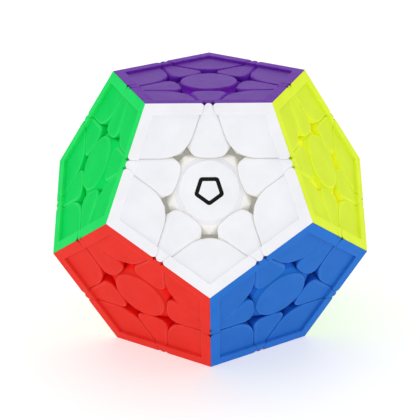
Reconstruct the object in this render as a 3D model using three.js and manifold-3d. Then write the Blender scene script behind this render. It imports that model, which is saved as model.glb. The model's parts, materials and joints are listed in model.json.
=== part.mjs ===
// A twelve-faced twisty puzzle: a dodecahedron whose twelve face layers each turn about their own
// screw on a central core. Millimetres, +Z up, resting on the pink face; the white face looks to -Y.
//
// Every piece is cut from the dodecahedron by surfaces that are round about the turning axes: the
// outer planes at CUT, the inner planes at FOOT_CUT, and a sphere between the two zones. The feet
// under the sphere hook below their neighbours, so the pieces hold one another in.
import * as THREE from "three";
import { mergeVertices } from "three/addons/utils/BufferGeometryUtils.js";
import Module from "manifold-3d";

const wasm = await Module();
wasm.setup();

// The dodecahedron
const EDGE = 30.5; // length of one edge
const GOLDEN = (1 + Math.sqrt(5)) / 2;
const INRADIUS = (EDGE * GOLDEN ** 2) / (2 * Math.sqrt(3 - GOLDEN)); // centre to face
const FACE_INRADIUS = EDGE / (2 * Math.tan(Math.PI / 5)); // middle of a face to its edge
const COS_AXES = 1 / Math.sqrt(5); // between the axes of two neighbouring faces
const SIN_AXES = 2 / Math.sqrt(5);
const RING_TILT = Math.asin(COS_AXES); // of the two rings of side faces, above or below level
const FIFTH = (2 * Math.PI) / 5;

// The cuts, measured from the puzzle's centre
const CUT = 0.634 * INRADIUS; // outer plane of a layer
const FOOT_CUT = 18.6; // inner plane of a layer, under its neighbours
const SHELL_RADIUS = 30; // sphere between the outer parts and the feet
const FOOT_LOW = 23.6; // the feet end flat at this distance along a piece's own middle
const GAP = 0.34; // between two pieces, across a plane
const SHELL_GAP = 0.6; // between two pieces, across the sphere
const SPHERE_DETAIL = 3;

// The faces
const RIM_WIDTH = 2.75; // raised frame along the edges of a face
const TILE_DEPTH = 0.75; // the tiles lie this far under the frame
const POCKET_DEPTH = 2.9; // of the open gaps where the tiles' ends are rounded
const CORNER_ROUND = 11; // radius of a corner tile's inner end
const PETAL_ROUND = 2.8; // radius of an edge tile's two inner corners
const ARC_STEPS = 3;
const PROUD = 1; // cutters reach this far past what they cut

// The centre pieces
const CAP_RADIUS = 7.25;
const CAP_DEPTH = 0.5; // the disc's top lies this far under the frame
const CAP_ROUND = 0.35; // of the disc's edge
const SKIRT_RADIUS = 7.8; // foot of the disc's sloping wall
const SKIRT_LOW = 30.6; // inside the plate
const PLATE_TOP = 31; // distance of the five-armed plate from the puzzle's centre
const PLATE_REACH = 11; // middle of the face to the flat end of an arm
const STEM_RADIUS = 5.3; // under the plate, widening downwards
const STEM_FLARE = 9.4;
const FLARE_LOW = 21;
const SLEEVE_RADIUS = 4.8; // around the post
const SLEEVE_LOW = 17;
const BORE_RADIUS = 1.9; // for the screw
const SPRING_BORE_RADIUS = 3.7; // round the spring and the screw's head
const SPRING_BORE_LOW = 20;
const SPRING_BORE_HIGH = 29.5;
const ROUND_STEPS = 12;
const ROD_STEPS = 8;

// The core
const CORE_RADIUS = 11.5;
const POST_RADIUS = 3.6;
const POST_TOP = 16.6;
const SCREW_RADIUS = 1.5;
const SCREW_HEAD_RADIUS = 2.9;
const SCREW_HEAD_LOW = 25.2;
const SCREW_HEAD_HIGH = 27.2;

// The bridge that joins an edge of the resting layer to the side centre it stays with
const BRIDGE_TILT = THREE.MathUtils.degToRad(15.5); // from the side face's axis
const BRIDGE_RADIUS = 0.8;
const BRIDGE_LOW = 28.7;
const BRIDGE_HIGH = 30.9;

// Name, compass direction and tilt in radians, colour, roughness
const ringFace = (step, tilt, start) => [THREE.MathUtils.degToRad(start) + step * FIFTH, tilt];
const FACES = [
  ["purple", [0, Math.PI / 2], "#7648a5", 0.5],
  ["white", ringFace(0, RING_TILT, -90), "#f2f3f7", 0.45],
  ["yellow", ringFace(1, RING_TILT, -90), "#d7eb3c", 0.5],
  ["orange", ringFace(2, RING_TILT, -90), "#f08a24", 0.5],
  ["sky", ringFace(3, RING_TILT, -90), "#6cc4ea", 0.5],
  ["green", ringFace(4, RING_TILT, -90), "#19dc5f", 0.5],
  ["blue", ringFace(0, -RING_TILT, -54), "#326ecd", 0.5],
  ["lime", ringFace(1, -RING_TILT, -54), "#8ed24a", 0.5],
  ["grey", ringFace(2, -RING_TILT, -54), "#8f949b", 0.5],
  ["cream", ringFace(3, -RING_TILT, -54), "#f1e3b4", 0.5],
  ["red", ringFace(4, -RING_TILT, -54), "#eb3a34", 0.5],
  ["pink", [0, -Math.PI / 2], "#f08fb4", 0.5],
].map(([name, [azimuth, tilt], colour, roughness]) => ({
  name,
  normal: new THREE.Vector3(
    Math.cos(tilt) * Math.cos(azimuth),
    Math.cos(tilt) * Math.sin(azimuth),
    Math.sin(tilt),
  ),
  colour,
  roughness,
}));
const CORE_COLOUR = "#2b2d30";
const RESTING = "pink";

const UP = new THREE.Vector3(0, 0, 1);
const [TOP, FRONT, RIGHT] = FACES; // the faces that the three pattern pieces are drawn on
const LEFT = FACES[5];
const touching = (a, b) => a !== b && a.normal.dot(b.normal) > 0;

// A three.js geometry as a manifold-3d solid.
function solid(geometry) {
  const bare = new THREE.BufferGeometry();
  const flat = geometry.index ? geometry.toNonIndexed() : geometry;
  bare.setAttribute("position", flat.getAttribute("position"));
  const merged = mergeVertices(bare, 1e-4);
  const index = merged.index.array;
  const kept = [];
  for (let i = 0; i < index.length; i += 3) {
    const [a, b, c] = index.slice(i, i + 3);
    if (a !== b && b !== c && c !== a) kept.push(a, b, c);
  }
  return new wasm.Manifold(
    new wasm.Mesh({
      numProp: 3,
      vertProperties: merged.attributes.position.array,
      triVerts: new Uint32Array(kept),
    }),
  );
}

// A manifold-3d solid as a three.js geometry with one flat normal per triangle.
function geometryOf(manifold) {
  const mesh = manifold.getMesh();
  const geometry = new THREE.BufferGeometry();
  geometry.setAttribute("position", new THREE.BufferAttribute(mesh.vertProperties, mesh.numProp));
  geometry.setIndex(new THREE.BufferAttribute(mesh.triVerts, 1));
  const flat = geometry.toNonIndexed();
  flat.computeVertexNormals();
  return flat;
}

// What was drawn around +Z, turned to stand around a direction.
function aimed(geometry, direction) {
  return geometry.applyQuaternion(new THREE.Quaternion().setFromUnitVectors(UP, direction));
}

// All space between two distances along a direction, wider than the puzzle.
function slab(direction, low, high) {
  const width = 4 * INRADIUS;
  const box = new THREE.BoxGeometry(width, width, high - low).translate(0, 0, (low + high) / 2);
  return solid(aimed(box, direction));
}

const FAR = 2 * INRADIUS;
const beyond = (face, distance) => slab(face.normal, distance, FAR);
const within = (face, distance) => slab(face.normal, -FAR, distance);
const overlap = (solids) => solids.reduce((all, next) => all.intersect(next));
const ball = (radius) => solid(new THREE.IcosahedronGeometry(radius, SPHERE_DETAIL));

// A turned shape around a direction from the puzzle's centre: pairs of radius and distance.
function turned(profile, direction, steps) {
  const points = profile.map(([radius, distance]) => new THREE.Vector2(radius, distance));
  return solid(aimed(new THREE.LatheGeometry(points, steps).rotateX(Math.PI / 2), direction));
}

// The frame of a face: y towards a neighbouring face, z outwards, at the face's own plane.
function faceFrame(face, neighbour) {
  const y = neighbour.normal.clone().addScaledVector(face.normal, -COS_AXES).normalize();
  const x = new THREE.Vector3().crossVectors(y, face.normal);
  const frame = new THREE.Matrix4().makeBasis(x, y, face.normal);
  return frame.setPosition(face.normal.clone().multiplyScalar(INRADIUS));
}

// A flat outline on a face, sunk to a depth and reaching past the face.
function sunk(outline, depth, frame) {
  const options = { depth: depth + PROUD, bevelEnabled: false };
  const geometry = new THREE.ExtrudeGeometry(new THREE.Shape(outline), options);
  return solid(geometry.translate(0, 0, -depth).applyMatrix4(frame));
}

// The sliver between a sharp corner and the arc that rounds it. The sides leave the corner along
// two unit vectors.
function rounding(corner, side, otherSide, radius) {
  const middle = side.clone().add(otherSide).normalize();
  const half = Math.acos(side.dot(middle));
  const centre = corner.clone().addScaledVector(middle, radius / Math.sin(half));
  const tangent = radius / Math.tan(half);
  const start = corner.clone().addScaledVector(side, tangent).sub(centre);
  const end = corner.clone().addScaledVector(otherSide, tangent).sub(centre);
  const sweep = Math.asin(THREE.MathUtils.clamp(start.cross(end) / radius ** 2, -1, 1));
  const turn = 2 * half > Math.PI / 2 ? sweep : Math.sign(sweep) * (Math.PI - Math.abs(sweep));
  const outline = [];
  for (let i = 0; i <= ARC_STEPS; i++) {
    outline.push(start.clone().rotateAround(new THREE.Vector2(), (turn * i) / ARC_STEPS).add(centre));
  }
  const outer = radius + PROUD;
  outline.push(end.clone().setLength(outer).add(centre));
  outline.push(corner.clone().addScaledVector(middle, -PROUD / Math.sin(half)));
  outline.push(start.clone().setLength(outer).add(centre));
  return THREE.ShapeUtils.area(outline) < 0 ? outline.reverse() : outline;
}

const CUT_ON_FACE = (CUT - INRADIUS * COS_AXES) / SIN_AXES; // middle of a face to a cut line
const cutVertex = new THREE.Vector2(CUT_ON_FACE * Math.tan(FIFTH / 2), CUT_ON_FACE);
const towards = (angle) => new THREE.Vector2(Math.sin(angle), Math.cos(angle));

// The outline of a corner tile's rounded inner end, in the frame of the face towards a neighbour
// on the left of the tile.
function cornerRounding() {
  return rounding(cutVertex, towards(Math.PI / 2), towards(-Math.PI / 10), CORNER_ROUND);
}

// The outline that rounds one inner corner of an edge tile; side is 1 or -1.
function petalRounding(side) {
  const corner = new THREE.Vector2(side * cutVertex.x, cutVertex.y);
  return rounding(corner, towards((-side * Math.PI) / 2), towards((-side * Math.PI) / 10), PETAL_ROUND);
}

// The sunken area of a face inside its raised frame.
function tileRecess(face, neighbour) {
  const inradius = FACE_INRADIUS - RIM_WIDTH;
  const outline = [0, 1, 2, 3, 4].map((k) =>
    towards((k + 0.5) * FIFTH).multiplyScalar(inradius / Math.cos(FIFTH / 2)),
  );
  return sunk(outline.reverse(), TILE_DEPTH, faceFrame(face, neighbour));
}

// A layer's own side of its planes, for a piece on these faces.
const inLayers = (faces, distance) => faces.map((face) => beyond(face, distance + GAP / 2));
const outOfLayers = (faces, distance) => faces.map((face) => within(face, distance - GAP / 2));

// The foot of a piece: under the sphere, inside its own layers and out of all others.
function foot(faces, others) {
  const zone = [...inLayers(faces, FOOT_CUT), ...outOfLayers(others, FOOT_CUT)];
  const middle = faces.reduce((sum, face) => sum.add(face.normal), new THREE.Vector3()).normalize();
  return overlap([ball(SHELL_RADIUS - SHELL_GAP / 2), slab(middle, FOOT_LOW, FAR), ...zone]);
}

// The pattern corner piece, on the top, front and right faces.
function cornerPiece() {
  const faces = [TOP, FRONT, RIGHT];
  const outer = [...inLayers(faces, CUT), ...faces.map((face) => within(face, INRADIUS))];
  let piece = overlap(outer);
  for (const face of faces) {
    const neighbour = faces.find(
      (other) => other !== face && turnsLeft(face, other, faces.find((f) => f !== face && f !== other)),
    );
    const frame = faceFrame(face, neighbour);
    piece = piece.subtract(tileRecess(face, neighbour));
    piece = piece.subtract(sunk(cornerRounding(), POCKET_DEPTH, frame));
  }
  return piece.add(foot(faces, []));
}

// Seen from outside a face, is the third face clockwise of its neighbour?
function turnsLeft(face, neighbour, third) {
  const turn = new THREE.Vector3().crossVectors(neighbour.normal, third.normal);
  return turn.dot(face.normal) < 0;
}

// The pattern edge piece, between the top and front faces.
function edgePiece() {
  const faces = [TOP, FRONT];
  const ends = [RIGHT, LEFT];
  let piece = overlap([
    ...inLayers(faces, CUT),
    ...outOfLayers(ends, CUT),
    ...faces.map((face) => within(face, INRADIUS)),
  ]);
  for (const [face, neighbour] of [faces, [...faces].reverse()]) {
    const frame = faceFrame(face, neighbour);
    piece = piece.subtract(tileRecess(face, neighbour));
    for (const side of [1, -1]) {
      piece = piece.subtract(sunk(petalRounding(side), POCKET_DEPTH, frame));
    }
  }
  const shell = ball(SHELL_RADIUS + SHELL_GAP / 2);
  for (const end of ends) {
    piece = piece.subtract(shell.intersect(beyond(end, FOOT_CUT - GAP / 2)));
  }
  return piece.add(foot(faces, ends));
}

// The turned part of a centre piece: disc, sloping wall, stem and the sleeve around the post.
function centreTurning() {
  const profile = [
    [0, SPRING_BORE_HIGH],
    [SPRING_BORE_RADIUS, SPRING_BORE_HIGH],
    [SPRING_BORE_RADIUS, SPRING_BORE_LOW],
    [BORE_RADIUS, SPRING_BORE_LOW],
    [BORE_RADIUS, SLEEVE_LOW],
    [SLEEVE_RADIUS, SLEEVE_LOW],
    [SLEEVE_RADIUS, FLARE_LOW - 1],
    [STEM_FLARE, FLARE_LOW],
    [STEM_RADIUS, SKIRT_LOW],
    [SKIRT_RADIUS, SKIRT_LOW],
    [CAP_RADIUS, INRADIUS - CAP_DEPTH - CAP_ROUND],
    [CAP_RADIUS - CAP_ROUND, INRADIUS - CAP_DEPTH],
    [0, INRADIUS - CAP_DEPTH],
  ];
  return turned(profile, UP, ROUND_STEPS);
}

// The five-armed plate of a centre piece, over the feet of the five edges around it.
function centrePlate() {
  const ring = FACES.filter((face) => touching(TOP, face));
  const armEnds = new THREE.CylinderGeometry(
    PLATE_REACH / Math.cos(FIFTH / 2),
    PLATE_REACH / Math.cos(FIFTH / 2),
    PLATE_TOP,
    5,
  );
  armEnds.rotateX(Math.PI / 2).translate(0, 0, PLATE_TOP / 2);
  const arms = overlap([solid(armEnds), ...outOfLayers(ring, CUT), beyond(TOP, FOOT_LOW)]);
  return arms.subtract(ball(SHELL_RADIUS + SHELL_GAP / 2));
}

// The pattern centre piece, on the top face.
function centrePiece() {
  return centreTurning().add(centrePlate());
}

// The ball, and for each face a post with its screw.
function corePiece() {
  const post = [
    [0, CORE_RADIUS / 2],
    [POST_RADIUS, CORE_RADIUS / 2],
    [POST_RADIUS, POST_TOP],
    [SCREW_RADIUS, POST_TOP],
    [SCREW_RADIUS, SCREW_HEAD_LOW],
    [SCREW_HEAD_RADIUS, SCREW_HEAD_LOW],
    [SCREW_HEAD_RADIUS, SCREW_HEAD_HIGH],
    [0, SCREW_HEAD_HIGH],
  ];
  const ballGeometry = new THREE.IcosahedronGeometry(CORE_RADIUS, 1);
  return FACES.reduce(
    (core, { normal }) => core.add(turned(post, normal, ROD_STEPS)),
    solid(ballGeometry),
  );
}

// The turn that carries the top and front faces to two other touching faces.
function turnTo(face, neighbour) {
  const from = faceFrame(TOP, FRONT);
  const turn = faceFrame(face, neighbour).multiply(from.invert());
  return new THREE.Quaternion().setFromRotationMatrix(turn);
}

// The bridge in the pattern's place: an edge between the top and front faces joins the front
// face's centre.
function bridge() {
  const inFace = TOP.normal.clone().addScaledVector(FRONT.normal, -COS_AXES).normalize();
  const direction = FRONT.normal
    .clone()
    .multiplyScalar(Math.cos(BRIDGE_TILT))
    .addScaledVector(inFace, Math.sin(BRIDGE_TILT));
  const profile = [
    [0, BRIDGE_LOW],
    [BRIDGE_RADIUS, BRIDGE_LOW],
    [BRIDGE_RADIUS, BRIDGE_HIGH],
    [0, BRIDGE_HIGH],
  ];
  return turned(profile, direction, ROD_STEPS);
}

function material(colour, roughness) {
  return new THREE.MeshStandardMaterial({ color: colour, roughness, metalness: 0 });
}

// One named copy of a pattern piece, turned to its own faces.
function placed(name, geometry, face, neighbour) {
  const mesh = new THREE.Mesh(geometry, material(face.colour, face.roughness));
  mesh.name = name;
  mesh.quaternion.copy(turnTo(face, neighbour));
  return mesh;
}

const centreSolid = centrePiece();
const centreGeometry = geometryOf(centreSolid);
const edgeGeometry = geometryOf(edgePiece());
const cornerGeometry = geometryOf(cornerPiece());

// An edge of the resting layer with the side centre that it turns with, drawn as the edge
// between the top and front faces and the centre of the front face.
function restingEdgeGeometry() {
  const toFront = turnTo(FRONT, TOP);
  const centre = centreGeometry.clone().applyQuaternion(toFront);
  return geometryOf(solid(centre).add(solid(edgeGeometry)).add(bridge()));
}
const restingGeometry = restingEdgeGeometry();

const centres = new THREE.Group();
const edges = new THREE.Group();
const corners = new THREE.Group();
const resting = FACES.find((face) => face.name === RESTING);

for (const [i, face] of FACES.entries()) {
  if (touching(face, resting)) {
    centres.add(placed(`${face.name}_centre_and_${RESTING}_edge`, restingGeometry, resting, face));
    centres.children.at(-1).material = material(face.colour, face.roughness);
  } else {
    const neighbour = FACES.find((other) => touching(face, other));
    centres.add(placed(`${face.name}_centre`, centreGeometry, face, neighbour));
  }
  for (const other of FACES.slice(i + 1).filter((next) => touching(face, next))) {
    if (other !== resting) {
      edges.add(placed(`${face.name}_${other.name}_edge`, edgeGeometry, face, other));
    }
    const thirds = FACES.slice(FACES.indexOf(other) + 1);
    for (const third of thirds.filter((next) => touching(face, next) && touching(other, next))) {
      const name = `${face.name}_${other.name}_${third.name}_corner`;
      const second = turnsLeft(TOP, FRONT, RIGHT) === turnsLeft(face, other, third) ? other : third;
      corners.add(placed(name, cornerGeometry, face, second));
    }
  }
}

const core = new THREE.Mesh(geometryOf(corePiece()), material(CORE_COLOUR, 0.6));
core.name = "core";

const puzzle = new THREE.Group();
puzzle.position.z = INRADIUS;
puzzle.add(core, centres, edges, corners);

const group = new THREE.Group();
group.add(puzzle);

export default group;
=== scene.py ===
"""The looks of a dodecahedral twisty puzzle. Every corner has three coloured shells on a dark inner
block with a foot, every edge two, and every centre a cap on a stem, with its screw, spring and washer
on the core.
Shapes are drawn in millimetres in the frame of one face: x to the right, y towards a neighbouring
face, z outwards from the face's own plane. Neighbours are numbered clockwise from y."""
import json
import math

import bmesh
import bpy
import numpy as np
from mathutils import Matrix, Vector

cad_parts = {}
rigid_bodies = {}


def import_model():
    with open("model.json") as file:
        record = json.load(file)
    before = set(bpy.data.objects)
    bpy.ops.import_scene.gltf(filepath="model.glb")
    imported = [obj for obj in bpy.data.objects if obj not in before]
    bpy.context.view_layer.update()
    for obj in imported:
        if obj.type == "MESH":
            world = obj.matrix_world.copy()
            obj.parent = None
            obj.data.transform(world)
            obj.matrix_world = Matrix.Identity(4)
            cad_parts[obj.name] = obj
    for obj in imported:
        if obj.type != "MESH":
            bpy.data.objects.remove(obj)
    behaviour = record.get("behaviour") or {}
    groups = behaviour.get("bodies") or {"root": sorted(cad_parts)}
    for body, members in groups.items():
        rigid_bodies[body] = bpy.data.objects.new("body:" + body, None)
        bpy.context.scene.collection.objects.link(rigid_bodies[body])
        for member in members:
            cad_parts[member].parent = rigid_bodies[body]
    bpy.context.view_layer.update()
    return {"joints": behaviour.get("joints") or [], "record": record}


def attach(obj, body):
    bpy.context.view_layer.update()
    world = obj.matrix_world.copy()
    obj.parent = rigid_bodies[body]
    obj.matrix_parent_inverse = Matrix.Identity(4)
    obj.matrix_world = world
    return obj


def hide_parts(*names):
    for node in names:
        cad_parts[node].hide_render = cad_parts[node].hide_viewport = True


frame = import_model()

# ---------------------------------------------------------------- the dodecahedron
MM = 0.001
COS_AXES, SIN_AXES = 1 / math.sqrt(5), 2 / math.sqrt(5)  # between neighbouring faces' axes
EDGE_RISE = (1 - COS_AXES) / SIN_AXES  # a face's edge line, per distance from the centre
CUT_SLOPE = COS_AXES / SIN_AXES  # how far a cut moves out from the middle of a face, per depth
FIFTH = math.tau / 5
ROOT = "core_and_resting_face"
RESTING = "pink"

masters = [j for j in frame["joints"] if j["parent"] == ROOT]
PIVOT = Vector(masters[0]["pos_m"])
NORMALS = {j["child"].removesuffix("_layer"): Vector(j["axis"]).normalized() for j in masters}
NORMALS[RESTING] = Vector((0, 0, -1))
INRADIUS = PIVOT.z / MM

# ---------------------------------------------------------------- sizes, in millimetres
CUT = 0.634 * INRADIUS  # a layer's own plane
GAP = 0.16  # between two pieces' walls, in the faces that CLOSE_GAPS leaves out
CLOSE_GAPS = {"white": 0.06, "cream": 0.06, "red": 0.06, "orange": 0.06, "pink": 0.06,
              "yellow": 0.1, "lime": 0.1, "green": 0.1, "blue": 0.1, "sky": 0.1}
SEAM = 0.005  # half the seam between two shells of one piece
FOOT_CUT, FOOT_BALL, FOOT_LOW = 18.6, 29.7, 23.6  # all three from the puzzle's centre
FOOT_COLOURED = 26.2  # the coloured part of a foot reaches down to here, along the piece's middle
INSIDE_GAP, SHARE_GAP = 0.4, 0.17  # clearance of a foot's dark and of its coloured part
INSIDE_LAP = 1  # the dark part of a foot goes on this far inside the coloured part
BLOCK_GAP, BLOCK_STEP, BLOCK_BEVEL = 0.35, 0.02, 0.25  # from the cuts, from the shells above, of its edges
RIM_WIDTH, TILE_DEPTH = 2.75, 0.75
WALL_STEP, PETAL_STEP = 0.02, 0.08  # a tile's walls lie inside its rim's ends, a petal's inner end more so
RIM_ROUND, TILE_ROUND, TILE_FALL = 0.13, 0.5, 0.42
RIM_WALL_DEPTH = 1.3  # the rim's inner wall goes straight down to here, inside the tile
NOTCH_DEPTH = 0.7  # of the small notches where a cut meets the edge of the puzzle
CORNER_NOTCH, PETAL_NOTCH, NOTCH_CLOSED = 0.95, 0.8, 0.03  # radius of a rim's end, in and under a notch
UNDER = 0.9  # the tile reaches this near the face's edge, inside the rim
SHELL_STEP = 0.1  # a tile's wall ends this far above its rim's
CORNER_DEPTH, EDGE_DEPTH = 8.0, 5.5  # of the shells
CORNER_ROUND = 9.3  # a corner tile's inner end, at the top
CORNER_ROUND_LOW, CORNER_ROUND_END = 3.85, 0.5  # depth and radius where that rounding has run out
PETAL_ROUND, PETAL_END_ROUND, PETAL_END_TILT = 2.2, 13.0, math.radians(9)
SUPPORT, FLAT = 0.07, 0.3  # loops beside each rounding keep the flat part flat
SHARP = math.radians(32)  # edges bent more than this look sharp

DISC_RADIUS, DISC_ROUND, DISC_DEPTH = 7.25, 0.4, 0.5
DISC_RINGS = [1.5, 3.5, 5.3, DISC_RADIUS - DISC_ROUND - SUPPORT]  # of its flat top
CAP_SIDE, CAP_REACH, CAP_ROUND = 8.2, 10.45, 0.3
ARM_START, ARM_HALF, ARM_CURVE = 8, 2.35, 2.75
ARM_NARROW = 10.6  # an arm would be at its narrowest here, a little past its end
CAP_BALL, CAP_GAP = 30.0, 0.05  # the cap's underside, and its clearance from the cuts
SKIRT = [(7.25, 0.88), (7.4, 1.15), (7.7, 1.4), (8.1, 1.65), (8.8, 2.0), (9.5, 2.3), (10.1, 2.6), (10.6, 2.9),
         (11.2, 3.4)]  # radius and depth
SKIRT_RINGS = [0, 0.03, 0.07, 0.12, 0.18, 0.25, 0.33, 0.41, 0.5, 0.58, 0.66, 0.74, 0.81, 0.87, 0.92, 0.95,
               0.97, 0.985, 1]  # as shares of the way from the disc to the outline
# the skirt's rings further out have the walls' look, with its painted light and shade of the gaps
SMOOTH_SKIRT_RINGS = 6  # the rings next to the disc that have the rims' look

CORE_BALL = 11.5
MARK_OUTER, MARK_INNER, MARK_LIFT, MARK_TOP = 3.1, 2.15, 0.002, 0.02

# ---------------------------------------------------------------- colours, linear
# of the frosted tiles, of the smooth rims and of the walls down between the pieces; the walls' colour, unlike
# the tiles', is painted light and shade of the deep gaps
COLOURS = {
    "purple": ((0.156, 0.052, 0.365), (0.126, 0.005, 0.360), (0.138, 0.020, 0.440)),
    "white": ((0.828, 0.835, 0.878), (0.826, 0.829, 0.875), (0.945, 0.935, 0.915)),
    "yellow": ((0.688, 0.851, 0.035), (0.752, 0.910, 0.020), (0.840, 0.880, 0.025)),
    "orange": ((0.850, 0.250, 0.020), (0.900, 0.220, 0.008), (0.850, 0.180, 0.006)),
    "sky": ((0.150, 0.530, 0.800), (0.100, 0.500, 0.850), (0.060, 0.440, 0.820)),
    "green": ((0.001, 0.688, 0.104), (0.001, 0.757, 0.126), (0.001, 0.700, 0.120)),
    "blue": ((0.018, 0.147, 0.550), (0.009, 0.154, 0.592), (0.008, 0.098, 0.525)),
    "lime": ((0.270, 0.640, 0.060), (0.230, 0.680, 0.030), (0.200, 0.620, 0.020)),
    "grey": ((0.260, 0.280, 0.310), (0.230, 0.250, 0.290), (0.210, 0.230, 0.270)),
    "cream": ((0.860, 0.740, 0.440), (0.900, 0.760, 0.400), (0.860, 0.700, 0.330)),
    "red": ((0.772, 0.027, 0.017), (0.790, 0.022, 0.011), (0.820, 0.005, 0.004)),
    "pink": ((0.850, 0.260, 0.430), (0.900, 0.220, 0.420), (0.860, 0.170, 0.360)),
}
DARK = (0.022, 0.023, 0.026)
# painted glow: emission that stands in for light getting through the pale colours and back out: of the walls,
# and of the tiles and rims
PAINTED_GLOW = {"white": 0.05, "cream": 0.04, "yellow": 0.13, "green": 0.06, "lime": 0.06, "red": 0.035,
        "orange": 0.06, "pink": 0.05, "sky": 0.03}
PAINTED_TOP_GLOW = {"white": 0.07}
PAINTED_GLOW_BLUE = 0.85  # the glow has this share of the plastic's blue
GLOSS, LOW_GLOSS = 0.05, 0.02
DULLER = {"purple_smooth", "green_frosted", "green_smooth"}
CLOUDS, SCUFFS, SMEARS, GRAIN = 160, 900, 420, 5200  # noise scales, in cycles per metre


# ---------------------------------------------------------------- materials
def plastic(name, colour, roughness, grain, wear=0.12, glow=0.0):
    """Moulded plastic: a little uneven in colour and gloss, with fine grain and lighter edges, and a painted
    glow where one is given.
    """
    material = bpy.data.materials.new(name)
    material.use_nodes = True
    nodes, links = material.node_tree.nodes, material.node_tree.links
    shader = nodes["Principled BSDF"]
    shader.inputs["IOR"].default_value = 1.5
    shader.inputs["Specular IOR Level"].default_value = LOW_GLOSS if name in DULLER else GLOSS
    # painted glow: emission in the plastic's own colour, a little less blue, standing in for light that gets
    # through the plastic
    shader.inputs["Emission Color"].default_value = (colour[0], colour[1], colour[2] * PAINTED_GLOW_BLUE, 1)
    shader.inputs["Emission Strength"].default_value = glow
    where = nodes.new("ShaderNodeTexCoord").outputs["Object"]

    def noise(scale, detail, rough=0.5):
        node = nodes.new("ShaderNodeTexNoise")
        node.inputs["Scale"].default_value = scale
        node.inputs["Detail"].default_value = detail
        node.inputs["Roughness"].default_value = rough
        links.new(where, node.inputs["Vector"])
        return node.outputs["Fac"]

    def spread(value, low, high, start=0.3, end=0.7):
        node = nodes.new("ShaderNodeMapRange")
        for key, number in zip(("From Min", "From Max", "To Min", "To Max"), (start, end, low, high)):
            node.inputs[key].default_value = number
        links.new(value, node.inputs["Value"])
        return node.outputs["Result"]

    def mixed(fac, a, b):
        node = nodes.new("ShaderNodeMix")
        node.data_type = "RGBA"
        links.new(fac, node.inputs["Factor"])
        for socket, value in ((node.inputs[6], a), (node.inputs[7], b)):
            if isinstance(value, tuple):
                socket.default_value = (*value, 1)
            else:
                links.new(value, socket)
        return node.outputs[2]

    cloudy = noise(CLOUDS, 3)
    shade = tuple(c * 0.965 for c in colour)
    light = tuple(min(1.0, c * 1.025 + 0.003) for c in colour)
    body = mixed(spread(cloudy, 0, 1), shade, light)
    rounding = nodes.new("ShaderNodeAttribute")
    rounding.attribute_name = "rounding"
    scuffs = nodes.new("ShaderNodeMath")
    scuffs.operation = "MULTIPLY"
    links.new(rounding.outputs["Fac"], scuffs.inputs[0])
    links.new(spread(noise(SCUFFS, 3), 0.3 * wear, wear), scuffs.inputs[1])
    edge = scuffs.outputs[0]
    worn = tuple(c + 0.3 * (1 - c) for c in colour)
    links.new(mixed(edge, body, worn), shader.inputs["Base Color"])
    links.new(spread(noise(SMEARS, 2), roughness - 0.04, roughness + 0.04), shader.inputs["Roughness"])
    bump = nodes.new("ShaderNodeBump")
    bump.inputs["Strength"].default_value = grain
    bump.inputs["Distance"].default_value = 0.00004
    links.new(noise(GRAIN, 2, 0.6), bump.inputs["Height"])
    links.new(bump.outputs["Normal"], shader.inputs["Normal"])
    return material


LOOKS = {}
# the walls' look paints the light and shade down in the gaps, with its own colour and its painted glow
for colour_name, (tile_colour, rim_colour, painted_gap_light_colour) in COLOURS.items():
    painted_top_glow = PAINTED_TOP_GLOW.get(colour_name, 0.0)
    LOOKS[colour_name] = [
        plastic(f"{colour_name}_frosted", tile_colour, 0.52, 0.35, glow=painted_top_glow),
        plastic(f"{colour_name}_smooth", rim_colour, 0.34, 0.06, wear=0.08, glow=painted_top_glow),
        plastic(f"{colour_name}_wall", painted_gap_light_colour, 0.40, 0.10, wear=0.04, glow=PAINTED_GLOW.get(colour_name, 0.0)),
    ]
DARK_LOOK = plastic("dark_plastic", DARK, 0.45, 0.25, wear=0.06)


def metal(name, colour, roughness):
    """Bright metal with fine grain."""
    material = plastic(name, colour, roughness, 0.1, wear=0.2)
    material.node_tree.nodes["Principled BSDF"].inputs["Metallic"].default_value = 1
    return material


STEEL = metal("bright_steel", (0.62, 0.62, 0.60), 0.28)


# ---------------------------------------------------------------- drawing on a face
def towards(k):
    """Unit vector in a face's plane towards neighbour k."""
    return np.array([math.sin(k * FIFTH), math.cos(k * FIFTH)])


def cut_line(depth, offset):
    """From the middle of a face to a neighbour's cut, at that depth. The offset is square to the cut."""
    return (CUT + offset - (INRADIUS - depth) * COS_AXES) / SIN_AXES


def edge_line(depth):
    """From the middle of a face to the seam with a neighbour's shell, that far below the face."""
    return (INRADIUS - depth) * EDGE_RISE - SEAM


def turn(v, angle):
    cos, sin = math.cos(angle), math.sin(angle)
    return np.array([v[0] * cos - v[1] * sin, v[0] * sin + v[1] * cos])


def meet(first, second):
    """The point where two lines cross."""
    (n1, c1), (n2, c2) = first, second
    return np.linalg.solve(np.array([n1, n2]), np.array([c1, c2]))


def ring(lines, corners, inset=0):
    """A closed outline. Lines are (outward normal, distance), anticlockwise, and each corner after a
    line is (radius before the inset, steps)."""
    points = []
    for i, (n1, c1) in enumerate(lines):
        n2, c2 = lines[(i + 1) % len(lines)]
        radius, steps = corners[i]
        bend = math.atan2(n1[0] * n2[1] - n1[1] * n2[0], n1 @ n2)
        side = 1 if bend > 0 else -1
        radius = max(radius - side * inset, 0.02)
        centre = meet((n1, c1 - side * radius), (n2, c2 - side * radius))
        start = math.atan2(n1[1], n1[0])
        for k in range(steps + 1):
            angle = start + bend * k / max(steps, 1)
            points.append(centre + side * radius * np.array([math.cos(angle), math.sin(angle)]))
    return points


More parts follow.
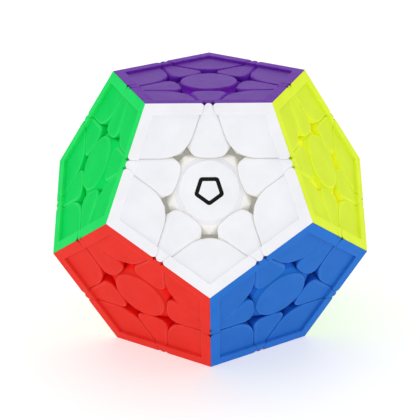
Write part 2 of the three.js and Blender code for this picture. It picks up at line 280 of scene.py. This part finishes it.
class Shape:
    """Faces and their looks, in one face's frame: 0 is frosted, 1 is smooth, 2 is a wall."""

    def __init__(self):
        self.points, self.faces, self.looks, self.rounding = [], [], [], []

    def loft(self, rings, top_look, walls):
        """A closed solid through outlines with the same number of points, (outline, depth) from
        the lowest to the highest. The lowest bands are walls, that many."""
        first, count = len(self.points), len(rings[0][0])
        for level, (outline, depth) in enumerate(rings):
            self.points += [(x, y, -depth) for x, y in outline]
            self.rounding += [float(walls < level < len(rings) - 2)] * count
        for level in range(len(rings) - 1):
            low = first + level * count
            for i in range(count):
                j = (i + 1) % count
                self.faces.append((low + i, low + j, low + count + j, low + count + i))
                self.looks.append(2 if level < walls else top_look if level == len(rings) - 2 else 1)
        self.faces.append(tuple(range(first + count - 1, first - 1, -1)))
        self.looks.append(2)
        top = first + (len(rings) - 1) * count
        self.faces.append(tuple(range(top, top + count)))
        self.looks.append(top_look)
        return self

    def add(self, points, faces):
        """More faces, with the walls' look."""
        first = len(self.points)
        self.points += [tuple(p) for p in points]
        self.faces += [tuple(first + i for i in face) for face in faces]
        self.looks += [2] * len(faces)
        self.rounding += [0.0] * len(points)
        return self


def quarter_round(steps):
    """Inset and fall, as shares of the rounding, from the wall up to the top."""
    return [(1 - math.cos(a), 1 - math.sin(a)) for a in np.linspace(0, math.pi / 2, steps + 1)]


def tile_levels(bottom, middle=None):
    """(depth, inset) from the bottom of a tile's wall to its flat top."""
    levels = [(bottom, 0)] + ([(middle, 0)] if middle else [])
    levels.append((TILE_DEPTH + TILE_FALL + SUPPORT, 0))
    levels += [(TILE_DEPTH + TILE_FALL * fall, TILE_ROUND * inset) for inset, fall in quarter_round(5)]
    return levels + [(TILE_DEPTH, TILE_ROUND + SUPPORT), (TILE_DEPTH, TILE_ROUND + FLAT)]


def rim_levels(bottom):
    """(depth, inset) from the bottom of a rim's wall to its flat top."""
    levels = [(bottom, 0), (RIM_WALL_DEPTH, 0), (NOTCH_DEPTH + SUPPORT, 0), (NOTCH_DEPTH, 0)]
    levels.append((RIM_ROUND + SUPPORT, 0))
    levels += [(RIM_ROUND * fall, RIM_ROUND * inset) for inset, fall in quarter_round(3)]
    return levels + [(0, RIM_ROUND + SUPPORT), (0, RIM_ROUND + FLAT)]


def rim_inner(depth):
    """From the middle of a face to its rim's inner wall."""
    return edge_line(0) - RIM_WIDTH - EDGE_RISE * max(0, depth - RIM_WALL_DEPTH)


def corner_shell(gap):
    """A corner's shell between neighbours 0 and 1: a frosted tile inside two raised rims."""
    a, b = towards(0), towards(1)
    shape = Shape()
    rings = []
    for depth, inset in tile_levels(CORNER_DEPTH - SHELL_STEP, CORNER_ROUND_LOW):
        cut = cut_line(depth, gap / 2) + WALL_STEP + inset
        under = edge_line(depth) - UNDER
        share = (depth - TILE_DEPTH) / (CORNER_ROUND_LOW - TILE_DEPTH)
        tip = max(CORNER_ROUND_END, CORNER_ROUND + (CORNER_ROUND_END - CORNER_ROUND) * share)
        lines = [(a, under), (-b, -cut), (-a, -cut), (b, under)]
        rings.append((ring(lines, [(0.3, 4), (tip, 30), (0.3, 4), (0.3, 4)], inset), depth))
    shape.loft(rings, top_look=0, walls=3)
    rings = []
    for depth, inset in rim_levels(CORNER_DEPTH):
        cut, edge = cut_line(depth, gap / 2) + inset, edge_line(depth) - 0.7 * inset
        inner = rim_inner(depth) + inset
        lines = [(a, edge), (-b, -cut), (-a, -inner), (-b, -inner), (-a, -cut), (b, edge)]
        end = (CORNER_NOTCH if depth <= NOTCH_DEPTH else NOTCH_CLOSED, 10)
        corners = [end, (0.15, 3), (0.2, 4), (0.15, 3), end, (0.04, 2)]
        rings.append((ring(lines, corners, inset), depth))
    return shape.loft(rings, top_look=1, walls=1)


def edge_shell(gap):
    """An edge's shell, towards neighbour 0: a frosted petal with a short piece of raised rim."""
    left, a, right = towards(-1), towards(0), towards(1)
    shape = Shape()
    rings = []
    for depth, inset in tile_levels(EDGE_DEPTH - SHELL_STEP):
        near = cut_line(depth, gap / 2) + WALL_STEP + PETAL_STEP + inset
        side = cut_line(depth, -gap / 2) - WALL_STEP - inset
        end = PETAL_END_ROUND - inset
        end_line = (near + end) * math.cos(PETAL_END_TILT) - end
        lines = [(a, edge_line(depth) - UNDER), (left, side), (turn(-a, -PETAL_END_TILT), -end_line),
                 (turn(-a, PETAL_END_TILT), -end_line), (right, side)]
        tip = (PETAL_ROUND, 14)
        rings.append((ring(lines, [(0.1, 3), tip, (PETAL_END_ROUND, 12), tip, (0.1, 3)], inset), depth))
    shape.loft(rings, top_look=0, walls=2)
    rings = []
    for depth, inset in rim_levels(EDGE_DEPTH):
        side, edge = cut_line(depth, -gap / 2) - inset, edge_line(depth) - 0.7 * inset
        lines = [(a, edge), (left, side), (-a, -rim_inner(depth) - inset), (right, side)]
        end = (PETAL_NOTCH if depth <= NOTCH_DEPTH else NOTCH_CLOSED, 9)
        rings.append((ring(lines, [end, (0.12, 3), (0.12, 3), end], inset), depth))
    return shape.loft(rings, top_look=1, walls=1)


# ---------------------------------------------------------------- the centre's cap
def arm_width(along):
    """Half the width of a cap's arm, that far from the middle of the face."""
    return ARM_HALF + ARM_CURVE - math.sqrt(ARM_CURVE**2 - (along - ARM_NARROW) ** 2)


def in_cap(p):
    """Is a point of the face inside the cap's outline, clear of the layers that turn beside it?"""
    out = max(towards(i) @ p for i in range(5))
    if out <= CAP_SIDE:
        return True
    if out > cut_line(INRADIUS - math.sqrt(CAP_BALL**2 - p @ p), -GAP / 2) - CAP_GAP:
        return False
    k = math.floor(math.atan2(p[0], p[1]) / FIFTH) + 0.5
    quarter = 1.25  # of a turn, in fifths
    along, across = towards(k) @ p, abs(towards(k + quarter) @ p)
    return ARM_START < along <= CAP_REACH and across <= arm_width(along)


def polar(radius, angle):
    """A point of the face, clockwise from y."""
    return np.array([radius * math.sin(angle), radius * math.cos(angle)])


def cap_angles():
    """The rays that the cap is drawn on, closer together across the arms' ends."""
    side, middle = 23, 36  # degrees from a petal's middle to an arm's side and to its middle
    half = math.degrees(math.atan2(ARM_HALF, CAP_REACH))
    sector = [*np.linspace(0, side, 12)[:-1], *np.linspace(side, middle - half, 9)[:-1]]
    sector += [*np.linspace(middle - half, middle, 7)]
    sector += [2 * middle - x for x in sector[-2:0:-1]]
    return [math.radians(2 * middle * k + x) for k in range(5) for x in sector]


def cap_reach(angle):
    """How far the cap's outline is from the middle of the face, found by halving."""
    low, high = CAP_SIDE - 0.5, CAP_REACH + 1
    ray = polar(1, angle)
    for _ in range(24):
        middle = (low + high) / 2
        low, high = (middle, high) if in_cap(ray * middle) else (low, middle)
    return low


def distance_to(outline, p):
    """From a point to the nearest side of a closed outline."""
    along = np.roll(outline, -1, axis=0) - outline
    share = np.clip(((p - outline) * along).sum(1) / (along**2).sum(1), 0, 1)
    return np.sqrt((((outline + along * share[:, None]) - p) ** 2).sum(1)).min()


def rounded_off(distance, radius):
    """How far a rounded edge has fallen, that near to the side."""
    return radius - math.sqrt(radius**2 - (radius - min(distance, radius)) ** 2)


def skirt_depth(p, outline):
    """The skirt's own fall, but never above the cuts, and rounded off along the outline."""
    depth = float(np.interp(math.hypot(*p), *zip(*SKIRT)))
    allowed = (max(towards(k) @ p for k in range(5)) + GAP / 2 - cut_line(0, 0)) / CUT_SLOPE
    return max(depth, allowed) + rounded_off(distance_to(outline, p), CAP_ROUND)


def centre_cap():
    """Disc, sloping skirt and five arms in one, drawn in rings from the middle out and back below."""
    angles = cap_angles()
    count = len(angles)
    reach = [cap_reach(angle) for angle in angles]
    outline = np.array([polar(end, angle) for end, angle in zip(reach, angles)])
    rings = [[(*polar(r, a), -DISC_DEPTH) for a in angles] for r in DISC_RINGS]
    for bend in np.linspace(0, math.pi / 2 * 0.92, 6):
        r = DISC_RADIUS - DISC_ROUND * (1 - math.sin(bend))
        depth = DISC_DEPTH + rounded_off(DISC_RADIUS - r, DISC_ROUND)
        rings.append([(*polar(r, a), -depth) for a in angles])
    disc_rings = len(rings)
    start = DISC_RADIUS + 0.03
    for share in SKIRT_RINGS:
        points = [polar(start + (end - start) * share, angle) for angle, end in zip(angles, reach)]
        rings.append([(*p, -skirt_depth(p, outline)) for p in points])
    for share in (1.0, 0.8, 0.45):
        rings.append([(*polar(end * share, angle), math.sqrt(CAP_BALL**2 - (end * share) ** 2) - INRADIUS)
                      for angle, end in zip(angles, reach)])
    frosted, smooth = len(DISC_RINGS) - 1, disc_rings + SMOOTH_SKIRT_RINGS
    shape = Shape()
    shape.points = [p for row in rings for p in row]
    shape.rounding = [float(frosted < i // count < disc_rings) for i in range(len(shape.points))]
    for level in range(len(rings) - 1):
        inner, outer = level * count, (level + 1) * count
        for i in range(count):
            j = (i + 1) % count
            shape.faces.append((inner + j, inner + i, outer + i, outer + j))
            shape.looks.append(0 if level < frosted else 1 if level < smooth else 2)
    last = (len(rings) - 1) * count
    shape.faces += [tuple(range(count - 1, -1, -1)), tuple(range(last, last + count))]
    shape.looks += [0, 1]
    return shape


def turned(profile, steps):
    """A closed profile of (radius, distance from the puzzle's centre), turned about the face's axis."""
    shape = Shape()
    count = len(profile)
    points, faces = [], []
    for i in range(steps):
        angle = math.tau * i / steps
        points += [(r * math.cos(angle), r * math.sin(angle), h - INRADIUS) for r, h in profile]
    for i in range(steps):
        for j in range(count):
            a, b = i * count + j, i * count + (j + 1) % count
            c, d = ((i + 1) % steps) * count + (j + 1) % count, ((i + 1) % steps) * count + j
            faces.append((a, d, c, b))
    return shape.add(points, faces)


def centre_stem():
    """Flared stem under the cap, with the sleeve that turns on the core's post."""
    sleeve = [(1.9, 17), (4.6, 17), (4.8, 17.2), (4.8, 20)]
    flare = [(9.2, 21), (9.4, 21.2), (8.9, 22.0), (7.6, 23.6), (6.5, 25.6), (5.8, 27.6), (5.5, 29.0),
             (5.2, 29.7)]
    spring_bore = [(3.9, 29.7), (3.7, 29.5), (3.7, 20.2), (3.5, 20), (1.9, 20)]
    return turned((sleeve + flare + spring_bore)[::-1], 64)


def screw():
    """Shank with thread ridges, and a pan head with a round recess."""
    pitch = 0.7
    tip = [(0.02, 12.5), (1.0, 12.8)]
    thread = []
    for i in range(16):
        h = 13.2 + i * pitch
        thread += [(1.5, h), (1.15, h + pitch / 2)]
    head = [(1.45, 24.4), (1.45, 25.25), (2.9, 25.25), (2.9, 26.2), (2.6, 26.8), (1.9, 27.1), (0.8, 27.15)]
    recess = [(0.7, 26.4), (0.02, 26.4)]
    return turned((tip + thread + head + recess)[::-1], 24)


def washer():
    profile = [(1.65, 24.75), (3.2, 24.75), (3.3, 24.85), (3.3, 25.1), (3.2, 25.2), (1.65, 25.2)]
    return turned(profile[::-1], 32)


def spring():
    """Coil spring between the sleeve's floor and the washer."""
    turns, per_turn, sides, wire, radius, low, high = 7, 20, 8, 0.28, 2.45, 20.35, 24.4
    points, faces = [], []
    total = turns * per_turn
    for i in range(total + 1):
        angle = math.tau * i / per_turn
        rise = low + (high - low) * i / total
        out = np.array([math.cos(angle), math.sin(angle), 0])
        for s in range(sides):
            a = math.tau * s / sides
            p = out * (radius + wire * math.cos(a)) + np.array([0, 0, rise - INRADIUS + wire * math.sin(a)])
            points.append(tuple(p))
    for i in range(total):
        for s in range(sides):
            t = (s + 1) % sides
            faces.append((i * sides + s, (i + 1) * sides + s, (i + 1) * sides + t, i * sides + t))
    faces.append(tuple(range(sides)))
    faces.append(tuple(range(total * sides + sides - 1, total * sides - 1, -1)))
    return Shape().add(points, faces)


# ---------------------------------------------------------------- feet, cut from a ball
def convex(planes, ball=None):
    """What is left of a ball, or of a bevelled block, after cutting: planes are (normal, distance)
    from the puzzle's centre, in millimetres, in the puzzle's own frame."""
    bm = bmesh.new()
    if ball:
        bmesh.ops.create_icosphere(bm, subdivisions=5, radius=ball)
    else:
        bmesh.ops.create_cube(bm, size=4 * INRADIUS)
    for normal, distance in planes:
        geometry = bm.verts[:] + bm.edges[:] + bm.faces[:]
        cut = bmesh.ops.bisect_plane(bm, geom=geometry, dist=1e-5, plane_co=normal * distance,
                                     plane_no=normal, clear_outer=True)
        loop = [e for e in cut["geom_cut"] if isinstance(e, bmesh.types.BMEdge)]
        if loop:
            bmesh.ops.edgeloop_fill(bm, edges=loop)
    bmesh.ops.remove_doubles(bm, verts=bm.verts[:], dist=0.01)
    if not ball:
        bmesh.ops.bevel(bm, geom=bm.edges[:], offset=BLOCK_BEVEL, segments=2, profile=0.5, affect="EDGES",
                        clamp_overlap=True)
    bmesh.ops.recalc_face_normals(bm, faces=bm.faces[:])
    bm.verts.index_update()
    shape = Shape().add([tuple(v.co) for v in bm.verts], [[v.index for v in f.verts] for f in bm.faces])
    bm.free()
    return shape


def foot_planes(faces, ends, clearance):
    """The planes round a piece's foot, and the piece's own middle direction."""
    planes = [(-NORMALS[f], -(FOOT_CUT + clearance)) for f in faces]
    planes += [(NORMALS[f], FOOT_CUT - clearance) for f in ends]
    return planes, sum((NORMALS[f] for f in faces), Vector()).normalized()


def inner_block(faces, ends, shell_depth):
    """The dark inner part of a piece: the lower part of its foot, and the block that carries the
    shells."""
    planes, middle = foot_planes(faces, ends, INSIDE_GAP)
    planes += [(-middle, -FOOT_LOW), (middle, FOOT_COLOURED + INSIDE_LAP)]
    shape = convex(planes, ball=FOOT_BALL - INSIDE_GAP)
    block = [(-NORMALS[f], -(CUT + BLOCK_GAP)) for f in faces]
    block += [(NORMALS[f], INRADIUS - shell_depth - BLOCK_STEP) for f in faces]
    other = convex(block + [(NORMALS[f], FOOT_CUT - INSIDE_GAP) for f in ends])
    return shape.add(other.points, other.faces)


def add_foot_share(shape, faces, ends):
    """Adds to a shell its own share of the foot's coloured part. The shell is on the first face."""
    planes, middle = foot_planes(faces, ends, SHARE_GAP)
    planes.append((-middle, -FOOT_COLOURED))
    planes += [((NORMALS[f] - NORMALS[faces[0]]).normalized(), -SEAM) for f in faces[1:]]
    share = convex(planes, ball=FOOT_BALL)
    to_face = face_frame(faces[0], faces[1]).inverted()
    return shape.add([to_face @ (PIVOT + Vector(p) * MM) for p in share.points], share.faces)


# ---------------------------------------------------------------- placing
def face_frame(face, neighbour):
    """The frame of a face, with y towards a neighbour, in metres in the puzzle's frame."""
    z = NORMALS[face]
    y = (NORMALS[neighbour] - COS_AXES * z).normalized()
    x = y.cross(z)
    frame_matrix = Matrix((x, y, z)).transposed().to_4x4()
    frame_matrix.translation = PIVOT + z * (INRADIUS * MM)
    return frame_matrix @ Matrix.Scale(MM, 4)


OWN_FRAME = Matrix.Translation(PIVOT) @ Matrix.Scale(MM, 4)


def piece(name, shape, matrix, materials, body, node):
    """One piece of the object: its mesh in place, riding on its body and standing for its node."""
    mesh = bpy.data.meshes.new(name)
    points = np.array(shape.points) @ np.array(matrix.to_3x3()).T + np.array(matrix.translation)
    mesh.from_pydata([tuple(p) for p in points], [], shape.faces)
    for material in materials:
        mesh.materials.append(material)
    looks = [min(look, len(materials) - 1) for look in shape.looks]
    mesh.polygons.foreach_set("material_index", looks)
    mesh.attributes.new("rounding", "FLOAT", "POINT").data.foreach_set("value", shape.rounding)
    mesh.polygons.foreach_set("use_smooth", [True] * len(looks))
    mesh.set_sharp_from_angle(angle=SHARP)
    mesh.update()
    thing = bpy.data.objects.new(name, mesh)
    bpy.context.scene.collection.objects.link(thing)
    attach(thing, body)
    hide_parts(node)
    return thing


def clockwise(face, first, second):
    """Is the second neighbour clockwise of the first, seen from outside the face?"""
    return NORMALS[first].cross(NORMALS[second]).dot(NORMALS[face]) < 0


def coloured(name, shape, face, neighbour, body, node):
    piece(name, shape, face_frame(face, neighbour), LOOKS[face], body, node)


CORNERS, EDGES = {}, {}
for gap in sorted({GAP, *CLOSE_GAPS.values()}):
    CORNERS[gap] = add_foot_share(corner_shell(gap), ["purple", "white", "green"], [])
    EDGES[gap] = add_foot_share(edge_shell(gap), ["purple", "white"], ["yellow", "green"])
CAP, STEM = centre_cap(), centre_stem()
SCREW, WASHER, SPRING = screw(), washer(), spring()


def touching(face):
    return [f for f in NORMALS if f != face and NORMALS[f].dot(NORMALS[face]) > 0]


def add_centre(face, body, node):
    neighbour = touching(face)[0]
    coloured(f"{face}_cap", CAP, face, neighbour, body, node)
    matrix = face_frame(face, neighbour)
    piece(f"{face}_stem", STEM, matrix, [DARK_LOOK], body, node)


def add_edge(faces, body, node):
    name = "_".join(faces) + "_edge"
    for face, other in (faces, faces[::-1]):
        shape = EDGES[CLOSE_GAPS.get(face, GAP)]
        coloured(f"{name}_{face}_shell", shape, face, other, body, node)
    ends = [f for f in touching(faces[0]) if f in touching(faces[1])]
    block = inner_block(faces, ends, EDGE_DEPTH)
    piece(f"{name}_inside", block, OWN_FRAME, [DARK_LOOK], body, node)


def add_corner(faces, body, node):
    name = "_".join(faces) + "_corner"
    for face in faces:
        first, second = [f for f in faces if f != face]
        if not clockwise(face, first, second):
            first = second
        shape = CORNERS[CLOSE_GAPS.get(face, GAP)]
        coloured(f"{name}_{face}_shell", shape, face, first, body, node)
    block = inner_block(faces, [], CORNER_DEPTH)
    piece(f"{name}_inside", block, OWN_FRAME, [DARK_LOOK], body, node)


behaviour = frame["record"]["behaviour"]
for body, nodes_of_body in behaviour["bodies"].items():
    for node in nodes_of_body:
        words = node.split("_")
        if node.endswith("_corner"):
            add_corner(words[:-1], body, node)
        elif node.endswith(f"_centre_and_{RESTING}_edge"):
            add_centre(words[0], body, node)
            add_edge([words[0], RESTING], body, node)
        elif node.endswith("_centre"):
            add_centre(words[0], body, node)
        elif node.endswith("_edge"):
            add_edge(words[:-1], body, node)


# ---------------------------------------------------------------- the core
def core_ball():
    """The ball with its twelve posts."""
    shape = Shape()
    bm = bmesh.new()
    bmesh.ops.create_icosphere(bm, subdivisions=4, radius=CORE_BALL)
    bm.verts.index_update()
    shape.add([tuple(v.co) for v in bm.verts], [[v.index for v in f.verts] for f in bm.faces])
    bm.free()
    profile = [(1.6, 10), (4.4, 10), (4.4, 11.6), (3.8, 12.2), (3.6, 12.8), (3.6, 16.3), (3.35, 16.6),
               (1.6, 16.6)]
    post = turned(profile[::-1], 40)
    for normal in NORMALS.values():
        outwards = normal.to_track_quat("Z", "Y").to_matrix()
        points = [outwards @ Vector((x, y, z + INRADIUS)) for x, y, z in post.points]
        shape.add(points, post.faces)
    return shape


piece("core_ball", core_ball(), OWN_FRAME, [DARK_LOOK], ROOT, "core")
for face in NORMALS:
    matrix = face_frame(face, touching(face)[0])
    for part, shape in (("screw", SCREW), ("washer", WASHER), ("spring", SPRING)):
        piece(f"{face}_{part}", shape, matrix, [STEEL], ROOT, "core")


# ---------------------------------------------------------------- the printed mark
def printed_mark():
    """A plain five-sided ring, printed on the white cap."""
    outside = ring([(towards(-k), MARK_OUTER) for k in range(5)], [(0.9, 8)] * 5)
    inside = ring([(towards(-k), MARK_INNER) for k in range(5)], [(0.35, 8)] * 5)
    count = len(outside)
    heights = (MARK_LIFT - DISC_DEPTH, MARK_TOP - DISC_DEPTH)
    points = [(x, y, height) for height in heights for outline in (outside, inside) for x, y in outline]
    a, b, c, d = (count * k for k in range(4))
    faces = []
    for i in range(count):
        j = (i + 1) % count
        faces += [(a + i, a + j, c + j, c + i), (b + j, b + i, d + i, d + j),
                  (c + i, c + j, d + j, d + i), (a + j, a + i, b + i, b + j)]
    return Shape().add(points, faces)


INK = plastic("black_ink", (0.009, 0.008, 0.007), 0.5, 0.1, wear=0.0)
mark_frame = face_frame("white", "purple")
piece("white_printed_mark", printed_mark(), mark_frame, [INK], "white_layer", "white_centre")


# ---------------------------------------------------------------- floor, light and camera
def floor():
    """Pale and a little bright of itself, so that it looks as white as a studio's."""
    mesh = bpy.data.meshes.new("floor")
    half = 3.0
    corners = [(-half, -half, 0), (half, -half, 0), (half, half, 0), (-half, half, 0)]
    mesh.from_pydata(corners, [], [(0, 1, 2, 3)])
    material = bpy.data.materials.new("pale_floor")
    material.use_nodes = True
    shader = material.node_tree.nodes["Principled BSDF"]
    shader.inputs["Base Color"].default_value = (0.55, 0.55, 0.55, 1)
    shader.inputs["Roughness"].default_value = 0.9
    shader.inputs["Emission Color"].default_value = (1, 1, 1, 1)
    shader.inputs["Emission Strength"].default_value = 0.55
    mesh.materials.append(material)
    thing = bpy.data.objects.new("floor", mesh)
    bpy.context.scene.collection.objects.link(thing)


def softbox(name, position, size, power):
    """A square soft light that shines at the middle of the puzzle."""
    light = bpy.data.lights.new(name, "AREA")
    light.shape, light.size, light.energy = "SQUARE", size, power
    thing = bpy.data.objects.new(name, light)
    thing.location = position
    thing.rotation_euler = (PIVOT - Vector(position)).to_track_quat("-Z", "Y").to_euler()
    bpy.context.scene.collection.objects.link(thing)


floor()
world = bpy.data.worlds.new("studio")
world.use_nodes = True
world.node_tree.nodes["Background"].inputs["Color"].default_value = (1, 1, 1, 1)
world.node_tree.nodes["Background"].inputs["Strength"].default_value = 0.57
bpy.context.scene.world = world
softbox("front_light", (0, -0.9, 0.16), 0.7, 1.9)
softbox("top_light", (0, 0.15, 1.2), 1.6, 5.2)
softbox("left_light", (-0.8, -0.15, 0.2), 0.6, 1.2)
softbox("right_light", (0.8, -0.15, 0.2), 0.6, 1.2)
softbox("back_light", (0, 0.9, 0.25), 0.7, 1.4)
bpy.context.scene.view_settings.view_transform = "Standard"


def make_camera(azimuth=-0.3, elevation=20.42, roll=-0.52, distance=0.412, lens=135.9, aim_drop=0.0013):
    """Looks at the white face from a little above, from the front."""
    a, e, r = (math.radians(x) for x in (azimuth, elevation, roll))
    ahead = Vector((math.sin(a) * math.cos(e), math.cos(a) * math.cos(e), -math.sin(e)))
    right = Vector((math.cos(a), -math.sin(a), 0))
    up = right.cross(ahead)
    place = PIVOT - ahead * distance
    ahead = (PIVOT - up * aim_drop - place).normalized()
    right = (right * math.cos(r) + up * math.sin(r)).normalized()
    up = right.cross(ahead).normalized()
    right = ahead.cross(up)
    camera = bpy.data.cameras.new("camera")
    camera.lens, camera.sensor_width = lens, 36
    thing = bpy.data.objects.new("camera", camera)
    rotation = Matrix((right, up, -ahead)).transposed().to_4x4()
    thing.matrix_world = Matrix.Translation(place) @ rotation
    bpy.context.scene.collection.objects.link(thing)
    bpy.context.scene.camera = thing


make_camera()
